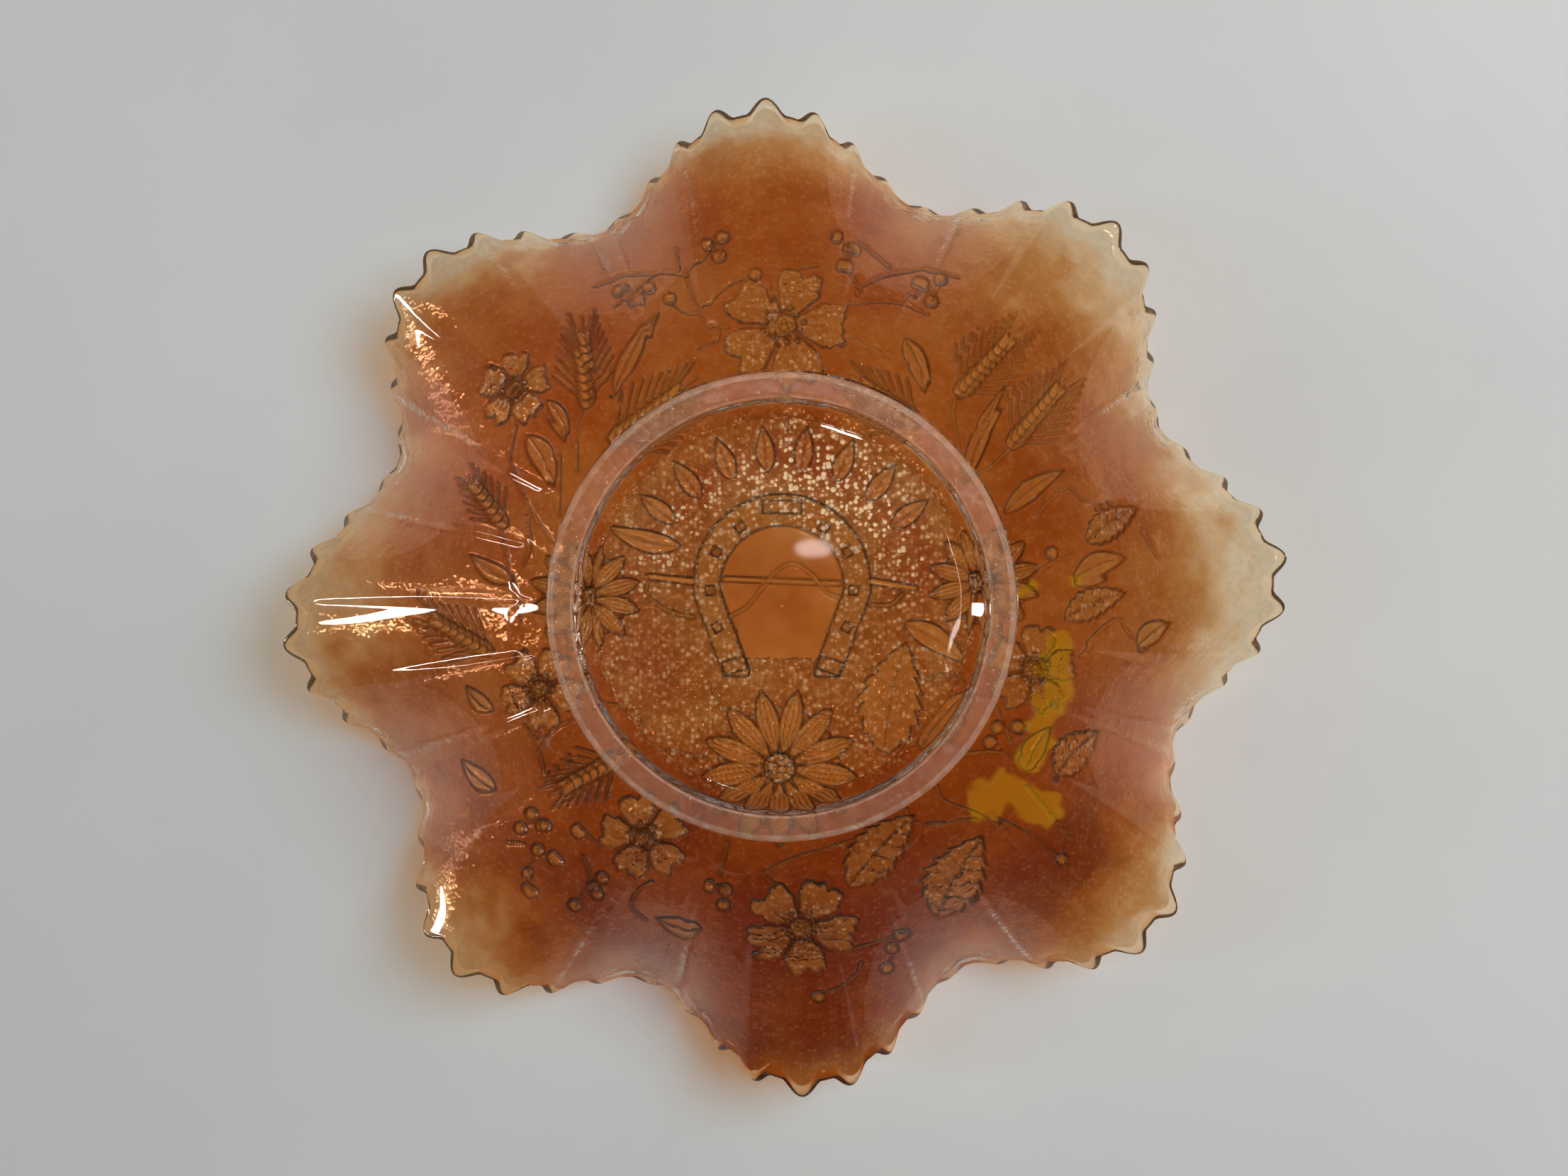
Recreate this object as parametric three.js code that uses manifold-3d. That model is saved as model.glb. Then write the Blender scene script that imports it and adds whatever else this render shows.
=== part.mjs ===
// A carnival glass bowl, standing rim down on a table with its foot ring up.
//
// The glass is one pressing. Its moulded features are kept here as separate named solids: the
// base, the ruffled wall, the foot ring, and each raised ornament on the inner face. Where two
// features are one piece of glass on the real bowl, the solids keep a small gap between them.
//
// Millimetres, +Z up. The origin is on the table, under the centre of the foot ring.

import * as THREE from "three";
import { mergeVertices } from "three/addons/utils/BufferGeometryUtils.js";
import Module from "manifold-3d";

const wasm = await Module();
wasm.setup();

// ---- driving dimensions ----

const height = 60; // table to the flat face of the foot ring
const jointGap = 0.4; // between two features that the real bowl has in one piece

const base = { radius: 38, thickness: 4.5, recess: 5 }; // recess: how deep it lies in the ring
const foot = { outer: 47, inner: 39.5, faceOuter: 46, faceInner: 42.5, edge: 1 };
const footSlope = 1.4; // how much lower the ring's outer edge reaches, to follow the wall
const floorHeight = height - base.recess - base.thickness; // the flat inside of the base

// The inner face of the wall in section, halfway between a lobe and a pinch of the ruffled rim.
const rim = { radius: 97.6, z: 12.6 };
const wallSection = new THREE.CubicBezierCurve(
  new THREE.Vector2(base.radius, floorHeight),
  new THREE.Vector2(base.radius + 20, floorHeight),
  new THREE.Vector2(80, 26),
  new THREE.Vector2(rim.radius, rim.z),
);
const wallThickness = { foot: base.thickness, rim: 3 };
const wallStations = 8;

const ruffles = { count: 8, depth: 11.4, growth: 3, turn: 3.1 }; // turn: +X to a lobe, in degrees
const teeth = { count: 66, length: 4, turn: 92.2, crowding: 0.0085 }; // turn: +X to a tooth
const samplesPerTooth = 2;

const reliefHeight = 1; // how far the ornaments stand out of the inner face

// ---- the wall as a surface ----

const radians = THREE.MathUtils.degToRad;
const polar = (radius, angle) => [radius * Math.cos(angle), radius * Math.sin(angle)];

// s is 0 where the wall leaves the base and 1 at the rim; lift is measured from the inner face,
// positive through the glass and negative into the bowl.
function wallPoint(s, angle, lift) {
  const along = wallSection.getTangent(s);
  const out = new THREE.Vector2(-along.y, along.x);
  const wave = Math.cos(ruffles.count * (angle - radians(ruffles.turn)));
  const ruffle = ruffles.depth * s ** ruffles.growth * wave;
  const place = wallSection.getPoint(s).addScaledVector(out, ruffle + lift);
  return new THREE.Vector3(...polar(place.x, angle), place.y);
}

const thicknessAt = (s) => THREE.MathUtils.lerp(wallThickness.foot, wallThickness.rim, s);

// The angle of a place along the rim, in teeth. The teeth are evenly spaced along the wavy rim,
// so they crowd together between a lobe and a pinch, where it climbs.
function rimAngle(place) {
  const even = radians(teeth.turn) + (2 * Math.PI * place) / teeth.count;
  return even + teeth.crowding * Math.sin(2 * ruffles.count * (even - radians(ruffles.turn)));
}

// The point on the inner face straight above or below a place in plan, lifted off the face.
function innerPoint(x, y, lift) {
  const radius = Math.hypot(x, y);
  if (radius <= base.radius) return new THREE.Vector3(x, y, floorHeight + lift);
  const angle = Math.atan2(y, x);
  let [low, high] = [0, 1];
  for (let halving = 0; halving < 30; halving++) {
    const middle = (low + high) / 2;
    const found = wallPoint(middle, angle, 0);
    if (Math.hypot(found.x, found.y) < radius) low = middle;
    else high = middle;
  }
  return wallPoint(low, angle, lift);
}

// ---- closed surfaces ----

// Joins rings of equally many points. With two end points it closes in a fan at each end, and
// with none the last ring joins the first.
function closedSurface(rings, ends) {
  const count = rings[0].length;
  const at = (ring, i) => (ring % rings.length) * count + (i % count);
  const first = rings.length * count;
  const triangles = [];
  for (let i = 0; i < count; i++) {
    for (let ring = 0; ring < rings.length - ends.length / 2; ring++) {
      triangles.push(at(ring, i), at(ring + 1, i), at(ring + 1, i + 1));
      triangles.push(at(ring, i), at(ring + 1, i + 1), at(ring, i + 1));
    }
    if (ends.length) {
      triangles.push(first, at(0, i), at(0, i + 1));
      triangles.push(first + 1, at(rings.length - 1, i + 1), at(rings.length - 1, i));
    }
  }
  return new THREE.BufferGeometry()
    .setFromPoints([...rings.flat(), ...ends])
    .setIndex(triangles);
}

function toManifold(geometry) {
  const bare = geometry.clone();
  bare.deleteAttribute("normal");
  bare.deleteAttribute("uv");
  const merged = mergeVertices(bare);
  return new wasm.Manifold(new wasm.Mesh({
    numProp: 3,
    vertProperties: new Float32Array(merged.attributes.position.array),
    triVerts: new Uint32Array(merged.index.array),
  }));
}

function fromManifold(solid) {
  const mesh = solid.getMesh();
  const geometry = new THREE.BufferGeometry();
  geometry.setAttribute("position", new THREE.BufferAttribute(mesh.vertProperties, 3));
  return geometry.setIndex(new THREE.BufferAttribute(mesh.triVerts, 1));
}

// ---- the vessel ----

function wall() {
  const count = teeth.count * samplesPerTooth;
  const angles = Array.from({ length: count }, (_, i) => rimAngle(i / samplesPerTooth));
  const ring = (s, lift) => angles.map((angle) => wallPoint(s, angle, lift));
  // The rim: a tooth's tip at every even sample, and the notch between two teeth at the odd ones.
  const toothed = (lift) => angles.map((angle, i) => {
    const edge = wallPoint(1, angle, lift);
    const outwards = edge.clone().sub(wallPoint(0.98, angle, lift)).normalize();
    return edge.addScaledVector(outwards, i % samplesPerTooth === 0 ? teeth.length : 0);
  });
  const stations = Array.from({ length: wallStations }, (_, i) => i / wallStations);
  const outside = stations.map((s) => ring(s, thicknessAt(s)));
  const inside = stations.map((s) => ring(s, 0));
  return closedSurface(
    [...outside, toothed(wallThickness.rim), toothed(0), ...inside.toReversed()], []);
}

function disc() {
  const flat = new THREE.CylinderGeometry(
    base.radius - jointGap, base.radius - jointGap, base.thickness, 48);
  return flat.rotateX(Math.PI / 2).translate(0, 0, floorHeight + base.thickness / 2);
}

function footRing() {
  const under = height - base.recess + jointGap;
  const profile = [
    [foot.inner, under],
    [foot.outer, under - footSlope],
    [foot.outer, height - foot.edge],
    [foot.faceOuter, height],
    [foot.faceInner, height],
    [foot.faceInner - foot.edge, height - foot.edge],
    [foot.inner, under],
  ].map(([r, z]) => new THREE.Vector2(r, z));
  return new THREE.LatheGeometry(profile, 64).rotateX(Math.PI / 2);
}

// ---- outlines of the ornaments, flat and about their own origin ----

const circle = (count, point) =>
  Array.from({ length: count }, (_, i) => point((2 * Math.PI * i) / count, i));

// A flower with pointed petals: a tip, then the notch between two petals.
const daisy = (radius, petals) =>
  circle(2 * petals, (angle, i) => polar(i % 2 ? radius * 0.72 : radius, angle));

// A flower with five broad petals.
const wildRose = (radius) =>
  circle(20, (angle) => polar(radius * (0.76 + 0.24 * Math.abs(Math.sin(2.5 * angle))), angle));

// A leaf or an ear of wheat lying along +X, with its edge in steps.
function blade(length, width, notches) {
  const side = Array.from({ length: 2 * notches - 1 }, (_, i) => {
    const share = (i + 1) / (2 * notches);
    const spread = Math.sin(Math.PI * share ** 0.8) * (i % 2 ? 0.7 : 1);
    return [(share - 0.5) * length, (-width / 2) * spread];
  });
  const back = side.map(([x, y]) => [x, -y]).toReversed();
  return [[-length / 2, 0], ...side, [length / 2, 0], ...back];
}

// A plate of the relief: an outline placed in plan and laid on the inner face.
function relief(outline, x, y, turn) {
  const near = -jointGap; // the side next to the glass
  const far = -jointGap - reliefHeight;
  const laid = (share, lift) => outline.map(([px, py]) => {
    const spot = new THREE.Vector2(px * share, py * share);
    spot.rotateAround(new THREE.Vector2(), radians(turn));
    return innerPoint(x + spot.x, y + spot.y, lift);
  });
  const rings = [laid(0.5, near), laid(1, near), laid(1, far), laid(0.5, far)];
  return closedSurface(rings, [innerPoint(x, y, near), innerPoint(x, y, far)]);
}

// ---- ornaments that are joined from several shapes, drawn flat in plan ----

const extruded = (shape) =>
  toManifold(new THREE.ExtrudeGeometry(shape, {
    depth: reliefHeight, bevelEnabled: false, curveSegments: 8 }));

function bar(x1, y1, x2, y2, width) {
  const across = new THREE.Vector2(y1 - y2, x2 - x1).setLength(width / 2);
  return extruded(new THREE.Shape([
    new THREE.Vector2(x1 - across.x, y1 - across.y),
    new THREE.Vector2(x2 - across.x, y2 - across.y),
    new THREE.Vector2(x2 + across.x, y2 + across.y),
    new THREE.Vector2(x1 + across.x, y1 + across.y),
  ]));
}

function dot(x, y, radius) {
  const points = circle(8, (angle) => {
    const [px, py] = polar(radius, angle);
    return new THREE.Vector2(x + px, y + py);
  });
  return extruded(new THREE.Shape(points));
}

// Lays a flat solid, whose underside is at z = 0, on the inner face.
function laidOnFace(solid) {
  const geometry = fromManifold(solid);
  const places = geometry.attributes.position;
  const spot = new THREE.Vector3();
  for (let i = 0; i < places.count; i++) {
    spot.fromBufferAttribute(places, i);
    const laid = innerPoint(spot.x, spot.y, -jointGap - reliefHeight + spot.z);
    places.setXYZ(i, laid.x, laid.y, laid.z);
  }
  return geometry;
}

// A horseshoe with its nail holes, crossed by a riding crop.
const shoe = { outer: 18.2, inner: 12.2, centre: 4.3, end: -14, endSpread: 10.4, nail: 1.9 };

function horseshoeAndCrop() {
  const side = (radius, endX) => {
    const arc = new THREE.EllipseCurve(0, shoe.centre, radius, radius, 0, Math.PI).getPoints(20);
    return [new THREE.Vector2(endX, shoe.end), ...arc, new THREE.Vector2(-endX, shoe.end)];
  };
  const outline = [
    ...side(shoe.outer, shoe.endSpread + 2), ...side(shoe.inner, shoe.endSpread - 3).toReversed()];
  const shape = new THREE.Shape(outline);
  const middle = (shoe.outer + shoe.inner) / 2;
  for (const hand of [-1, 1]) {
    for (const angle of [-32, -2, 28, 58]) {
      const [px, py] = polar(middle, radians(angle));
      const [x, y] = [hand * px * (angle < -20 ? 0.97 : 1), shoe.centre + py];
      const half = shoe.nail / 2;
      shape.holes.push(new THREE.Path([
        new THREE.Vector2(x - half, y - half),
        new THREE.Vector2(x - half, y + half),
        new THREE.Vector2(x + half, y + half),
        new THREE.Vector2(x + half, y - half),
      ]));
    }
  }
  return laidOnFace(extruded(shape).add(bar(-27.5, 6.2, 27, 3.6, 1.2)));
}

// Berries on short stems that meet at one place.
function berrySpray(meet, berries) {
  const pieces = berries.flatMap(([x, y]) => [dot(x, y, 1.6), bar(...meet, x, y, 0.8)]);
  return laidOnFace(pieces.reduce((whole, piece) => whole.add(piece)));
}

// ---- where the ornaments lie: x, y, then the turn from +X in degrees where it has one ----

const daisies = {
  daisy_front: [-0.5, -33, 15.5],
  daisy_left: [-40, 2, 11],
  daisy_right: [41, 5, 11],
};

const wildRoses = {
  wild_rose_back: [1, 57, 12.5],
  wild_rose_back_left: [-56, 45, 7.5],
  wild_rose_left: [-49, -17, 8.5],
  wild_rose_front_left: [-28, -47.5, 9],
  wild_rose_front: [4.5, -67.5, 11],
  wild_rose_right: [51.5, -13, 9],
};

// x, y, turn, length, width
const leaves = {
  leaf_inside_1: [23, -18.5, 79, 21, 11],
  leaf_inside_2: [31.2, -7.2, -33, 13.5, 4.5],
  leaf_inside_3: [34, -23.8, 50, 15, 5],
  leaf_inside_4: [-28, 13.5, -15, 14, 4],
  leaf_back_1: [-30.5, 51.5, 63, 18, 3],
  leaf_back_2: [27.5, 49, 290, 11, 3.5],
  leaf_right_1: [41, 35, 66, 20, 3],
  leaf_right_2: [51.2, 23.5, 35, 14, 3.5],
  leaf_right_3: [68.5, 17, 30, 12, 6],
  leaf_right_4: [64.5, 0.5, 21, 13, 5.5],
  leaf_right_5: [65.5, 7.8, 22, 11, 5],
  leaf_right_6: [78, -6.2, 37, 8, 4],
  leaf_right_7: [61, -31, 45, 12, 7],
  leaf_right_8: [52.3, -29.5, 60, 9.5, 4],
  leaf_front_1: [20, -50, 49, 18.5, 8.5],
  leaf_front_2: [37, -56.8, 64, 18.5, 11],
  leaf_front_3: [-22, -68, -12, 9, 3.5],
  leaf_left_1: [-46, 38, 297, 8.5, 3],
  leaf_left_2: [-49, 29.8, 300, 11, 4.5],
  leaf_left_3: [-60, 7, 333, 10, 3.5],
  leaf_left_4: [-63.5, -19.8, 318, 7, 3],
  leaf_left_5: [-64.7, -37, 322, 9, 4],
};

const wheatEars = {
  wheat_ear_right_1: [42.5, 50, 47, 20, 7],
  wheat_ear_right_2: [53, 40, 49, 20, 7],
  wheat_ear_back: [21, 41.7, 146, 16, 5],
  wheat_ear_back_left_1: [-41.3, 49.5, 98, 18, 6.5],
  wheat_ear_back_left_2: [-26.5, 39.5, 36, 21, 5],
  wheat_ear_left_1: [-61.5, 21.2, 130, 13, 5.5],
  wheat_ear_left_2: [-68, -6, 153, 18, 5.5],
  wheat_ear_front_left: [-40, -35, 210, 16, 5.5],
};

// where the stems meet, then the berries
const berrySprays = {
  berries_back_1: [[-13.6, 71], [[-16, 75.5], [-12, 77.8], [-10.6, 73.2]]],
  berries_back_2: [[-27.5, 66.5], [[-36, 60.5], [-31, 62], [-34.5, 65.5]]],
  berries_back_3: [[15, 72.5], [[14.5, 76.5], [10.3, 77.2], [11.3, 70.3]]],
  berries_back_4: [[32, 63.5], [[34.5, 68], [29, 66.5], [30, 59.3]]],
  berries_front_1: [[-49.5, -48], [[-52.5, -44], [-47.3, -44], [-55.7, -47.7]]],
  berries_front_2: [[-52.5, -56], [[-54, -61], [-57.5, -58], [-51.5, -52]]],
  berries_front_3: [[-40.5, -61], [[-37, -57.2], [-41.5, -57], [-44.5, -64]]],
  berries_front_4: [[-12, -58.5], [[-15.3, -57], [-9, -57], [-12.2, -62]]],
  berries_front_5: [[21, -73.5], [[24.5, -70], [24.8, -75.2], [21, -78.5]]],
};

// The band of small leaves that arches over the horseshoe.
const arch = { radius: 32, leaves: 8, from: 36, to: 142, length: 9, width: 4 };

// ---- the object ----

const bowl = new THREE.Group();

function addPiece(name, geometry, colour, roughness) {
  const material = new THREE.MeshStandardMaterial({ color: colour, roughness, metalness: 0 });
  const mesh = new THREE.Mesh(geometry, material);
  mesh.name = name;
  bowl.add(mesh);
}

const amber = 0xb5733c;
const marigold = 0xd9914e;
const clear = 0xe4dcd2;

addPiece("ruffled_wall", wall(), amber, 0.15);
addPiece("base", disc(), amber, 0.15);
addPiece("foot_ring", footRing(), clear, 0.08);
addPiece("horseshoe", horseshoeAndCrop(), marigold, 0.25);
for (const [name, [x, y, radius]] of Object.entries(daisies)) {
  addPiece(name, relief(daisy(radius, 12), x, y, 0), marigold, 0.25);
}
for (const [name, [x, y, radius]] of Object.entries(wildRoses)) {
  addPiece(name, relief(wildRose(radius), x, y, 0), marigold, 0.25);
}
for (const [name, [x, y, turn, length, width]] of Object.entries(leaves)) {
  addPiece(name, relief(blade(length, width, 4), x, y, turn), marigold, 0.25);
}
for (const [name, [x, y, turn, length, width]] of Object.entries(wheatEars)) {
  addPiece(name, relief(blade(length, width, 6), x, y, turn), marigold, 0.25);
}
for (const [name, [meet, berries]] of Object.entries(berrySprays)) {
  addPiece(name, berrySpray(meet, berries), marigold, 0.25);
}
for (let i = 0; i < arch.leaves; i++) {
  const turn = THREE.MathUtils.lerp(arch.from, arch.to, i / (arch.leaves - 1));
  const [x, y] = polar(arch.radius, radians(turn));
  addPiece(`arch_leaf_${i + 1}`, relief(blade(arch.length, arch.width, 2), x, y, turn), marigold, 0.25);
}

export default bowl;
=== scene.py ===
"""A pressed carnival glass bowl, standing rim down on a pale table with its foot ring up.

The bowl is one closed mesh of glass, made from rings of points: the inner face with its raised
ornaments, the rolled saw-tooth rim, the outside with its panels and ribs, and the foot ring.
Lengths are in millimetres until the mesh is made.
"""

import math

import bpy
import numpy as np
from mathutils import Matrix, Vector


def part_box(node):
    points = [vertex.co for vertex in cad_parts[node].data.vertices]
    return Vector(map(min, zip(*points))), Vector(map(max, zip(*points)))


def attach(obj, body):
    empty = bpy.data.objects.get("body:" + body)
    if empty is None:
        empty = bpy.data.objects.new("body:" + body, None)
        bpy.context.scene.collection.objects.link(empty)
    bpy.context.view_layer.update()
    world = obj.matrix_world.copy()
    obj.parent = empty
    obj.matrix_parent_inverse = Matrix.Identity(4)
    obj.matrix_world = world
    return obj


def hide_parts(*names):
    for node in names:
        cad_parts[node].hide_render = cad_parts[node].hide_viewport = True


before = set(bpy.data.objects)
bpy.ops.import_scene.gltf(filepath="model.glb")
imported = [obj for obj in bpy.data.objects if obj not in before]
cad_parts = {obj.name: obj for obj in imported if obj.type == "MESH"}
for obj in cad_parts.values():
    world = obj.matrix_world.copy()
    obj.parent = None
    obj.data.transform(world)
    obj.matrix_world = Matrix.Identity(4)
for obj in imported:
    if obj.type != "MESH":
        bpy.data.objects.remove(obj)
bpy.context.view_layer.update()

MM = 0.001
TURN = 2 * math.pi


def box_mm(node):
    low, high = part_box(node)
    return np.array(low) / MM, np.array(high) / MM


# ---- sizes, from the frame ----

JOINT_GAP = 0.4  # that the CAD solids keep where the glass is continuous
_, ring_high = box_mm("foot_ring")
base_low, base_high = box_mm("base")
TOP = ring_high[2]
FOOT_R = ring_high[0]
FLOOR_R = base_high[0] + JOINT_GAP
FLOOR_Z = base_low[2]
BASE_TOP = base_high[2]

# The inner face of the wall in section, as a cubic curve: radius and height.
SECTION = np.array([[FLOOR_R, FLOOR_Z], [FLOOR_R + 20, FLOOR_Z], [80, 26], [97.6, 12.6]])
WALL_LENGTH = 81.0  # along that curve
FOOT_THICKNESS = BASE_TOP - FLOOR_Z
RIM_THICKNESS = 3.0

RUFFLES = 8
RUFFLE_TURN = math.radians(3.1)
RUFFLE_DEPTH = 11.4
RUFFLE_GROWTH = 3
TEETH = 66
TOOTH_TURN = math.radians(92.2)
TOOTH_CROWDING = 0.0085
TOOTH_LENGTH = 3.5
PANELS = 29
PANEL_TURN = math.radians(141.4)

AROUND = 16 * TEETH  # points round a full ring
STEP = 0.42  # between rings on the inner face


def smooth(x):
    x = np.clip(x, 0, 1)
    return x * x * (3 - 2 * x)


# ---- the wall as a surface ----


def section(s):
    s = np.asarray(s)[..., None]
    t = 1 - s
    a, b, c, d = SECTION
    return t**3 * a + 3 * t * t * s * b + 3 * t * s * s * c + s**3 * d


def section_out(s):
    """The direction through the glass, away from the bowl's inside, in the section's plane."""
    s = np.asarray(s)[..., None]
    t = 1 - s
    a, b, c, d = SECTION
    along = t * t * (b - a) + 2 * t * s * (c - b) + s * s * (d - c)
    along /= np.linalg.norm(along, axis=-1, keepdims=True)
    return np.stack([-along[..., 1], along[..., 0]], axis=-1)


def wave(angle):
    """How far an angle is towards a lobe (1) or a pinch (-1)."""
    phase = RUFFLES * (angle - RUFFLE_TURN)
    return np.cos(phase) - 0.05 * np.cos(2 * phase)


def uneven(angle):
    """How much wider the rim was drawn out here by hand than a true round, in millimetres."""
    return (0.5 * np.cos(2 * (angle + math.radians(4)))
            + 0.35 * np.cos(3 * (angle + math.radians(40))))


def wall_point(s, angle, lift):
    """s: 0 at the base and 1 at the rim. lift: from the inner face, positive into the glass."""
    growth = np.asarray(s) ** RUFFLE_GROWTH
    place = section(s) + section_out(s) * (RUFFLE_DEPTH * growth * wave(angle) + lift)[..., None]
    r, z = place[..., 0] + uneven(angle) * growth, place[..., 1]
    return np.stack([r * np.cos(angle), r * np.sin(angle), z], axis=-1)


def inner_point(q, angle, lift):
    """q: the distance along the inner face from its centre."""
    wall = wall_point(np.clip((q - FLOOR_R) / WALL_LENGTH, 0, 1), angle, lift)
    flat = np.stack([q * np.cos(angle), q * np.sin(angle), FLOOR_Z + lift], axis=-1)
    return np.where((q < FLOOR_R)[..., None], flat, wall)


def rim_angle(place):
    even = TOOTH_TURN + TURN * place / TEETH
    return even + TOOTH_CROWDING * np.sin(2 * RUFFLES * (even - RUFFLE_TURN))


def tooth(place):
    """How far the rim stands out: a rounded nub on each whole place, and level between them."""
    off = np.clip(np.abs(place - np.round(place)) / 0.37, 0, 1)
    return (1 - off * off) ** 1.5


def thickness(s):
    return FOOT_THICKNESS + (RIM_THICKNESS - FOOT_THICKNESS) * np.asarray(s)


# ---- the rings of points ----

places = {n: np.arange(n) * TEETH / n for n in (AROUND, AROUND // 2, AROUND // 4, AROUND // 8)}


def count_at(radius):
    for limit, part in ((7, 8), (14, 4), (28, 2)):
        if radius < limit:
            return AROUND // part
    return AROUND


inner_q = np.concatenate([
    np.arange(STEP, FLOOR_R + 0.86 * WALL_LENGTH, STEP),
    np.linspace(FLOOR_R + 0.865 * WALL_LENGTH, FLOOR_R + WALL_LENGTH, 12),
])
inner_counts = [count_at(q) for q in inner_q]
all_q = np.concatenate([np.full(n, q) for q, n in zip(inner_q, inner_counts)])
all_place = np.concatenate([places[n] for n in inner_counts])
all_angle = rim_angle(all_place)
bare_face = inner_point(all_q, all_angle, np.zeros_like(all_q))
X, Y = bare_face[:, 0], bare_face[:, 1]


# ---- the raised ornaments, as heights on the inner face seen in plan ----

height = np.zeros_like(X)  # into the bowl
edge_shade = np.zeros_like(X)  # painted shade along the ornaments' outlines and in their creases
grain = np.zeros_like(X)  # where the mould was stippled

RAISED = 0.95


def near(x, y, reach):
    return np.nonzero((np.abs(X - x) < reach) & (np.abs(Y - y) < reach))[0]


def local(idx, x, y, turn):
    dx, dy = X[idx] - x, Y[idx] - y
    c, s = math.cos(turn), math.sin(turn)
    return dx * c + dy * s, dy * c - dx * s


def press(idx, inside, rise=RAISED, edge=0.7, stipple=1.0, edge_shade_strength=1.0):
    """Raises the face where inside, the distance within an outline, is positive."""
    level = rise * smooth(inside / edge + 0.5)
    height[idx] -= 0.3 * np.exp(-(((inside + 0.5) / 0.4) ** 2)) * (height[idx] > 0.4)
    height[idx] = np.maximum(height[idx], level)
    # Paints shade along the outline, where the raised part's edge falls into shade.
    edge_shade[idx] = np.maximum(edge_shade[idx] * (inside < 0.1), edge_shade_strength * np.exp(-((inside / 0.36) ** 2)))
    within = smooth(inside / 0.4)
    grain[idx] = grain[idx] * (1 - within) + stipple * within


def curve(points, steps=8):
    """A smooth line through the points."""
    p = np.array(points, float)
    if len(p) == 2:
        return p
    p = np.concatenate([[2 * p[0] - p[1]], p, [2 * p[-1] - p[-2]]])
    t = np.linspace(0, 1, steps, endpoint=False)[:, None]
    out = []
    for a, b, c, d in zip(p[:-3], p[1:-2], p[2:-1], p[3:]):
        out.append(0.5 * (2 * b + (c - a) * t + (2 * a - 5 * b + 4 * c - d) * t**2
                          + (3 * b - a - 3 * c + d) * t**3))
    return np.concatenate(out + [p[-2:-1]])


def to_line(idx, path):
    """The distance of each point from a path, and how far along the path it lies, 0 to 1."""
    px, py = X[idx], Y[idx]
    best = np.full(len(idx), 1e9)
    share = np.zeros(len(idx))
    for i, (a, b) in enumerate(zip(path[:-1], path[1:])):
        d = b - a
        t = np.clip(((px - a[0]) * d[0] + (py - a[1]) * d[1]) / (d @ d + 1e-9), 0, 1)
        away = np.hypot(px - a[0] - t * d[0], py - a[1] - t * d[1])
        closer = away < best
        best[closer] = away[closer]
        share[closer] = (i + t[closer]) / (len(path) - 1)
    return best, share


def around(path, margin):
    low, high = path.min(0) - margin, path.max(0) + margin
    return np.nonzero((X > low[0]) & (X < high[0]) & (Y > low[1]) & (Y < high[1]))[0]


def stem(points, width=0.75, rise=0.55, taper=0.3, edge_shade_strength=0.6):
    path = curve(points)
    idx = around(path, width + 1.5)
    away, share = to_line(idx, path)
    half = width / 2 * (1 - taper * share)
    press(idx, half - away, rise, edge=0.5, stipple=0.0, edge_shade_strength=edge_shade_strength)


def berry(x, y, radius=1.5, rise=1.1):
    idx = near(x, y, radius + 1.2)
    away = np.hypot(X[idx] - x, Y[idx] - y)
    dome = rise * np.sqrt(np.clip(1 - (away / radius) ** 2, 0, 1))
    height[idx] = np.maximum(height[idx], dome)
    # Painted shade round the berry's edge.
    edge_shade[idx] = np.maximum(edge_shade[idx], 0.95 * np.exp(-(((away - radius) / 0.3) ** 2)))


def wild_rose(x, y, radius, turn):
    """Five ragged fan-shaped petals round a button with a ring of dots."""
    idx = near(x, y, radius * 1.2)
    for i in range(5):
        u, v = local(idx, x, y, turn + TURN * i / 5)
        r, a = np.hypot(u, v), np.arctan2(v, u)
        notch = 0.11 * np.exp(-((a / 0.1) ** 2)) + 0.35 * smooth((np.abs(a) - 0.3) / 0.35)
        ragged = 0.03 * np.sin(19 * a + 2 * i) + 0.02 * np.sin(31 * a + i)
        tip = radius * (1 - notch + ragged) - r
        side = (0.56 + 0.05 * math.sin(3 * i) - np.abs(a)) * r
        inside = np.minimum(tip, side)
        press(idx, inside, RAISED * 0.85, edge=0.8, stipple=0.75, edge_shade_strength=0.85)
        height[idx] += 0.35 * smooth(2 * r / radius - 1) * smooth(inside / 1.2)
        # Creases in the petal, with painted shade in them.
        for offset in (-0.24, 0.0, 0.24):
            crease = np.exp(-(((a - offset) * r / 0.25) ** 2))
            crease *= smooth(inside / 0.8) * smooth(2.4 - 3 * r / radius)
            height[idx] -= 0.2 * crease
            edge_shade[idx] = np.maximum(edge_shade[idx], 0.45 * crease)
    away = np.hypot(X[idx] - x, Y[idx] - y)
    press(idx, 0.2 * radius - away, RAISED + 0.45, edge=0.6, stipple=0.3, edge_shade_strength=0.9)
    for i in range(12):
        angle = turn + TURN * i / 12
        reach = radius * (0.27 if i % 2 else 0.33)
        berry(x + reach * math.cos(angle), y + reach * math.sin(angle), 0.5, 1.4)
    for i in range(5):
        angle = turn + TURN * (i + 0.3) / 5
        berry(x + 0.1 * radius * math.cos(angle), y + 0.1 * radius * math.sin(angle), 0.55, 1.8)


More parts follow.
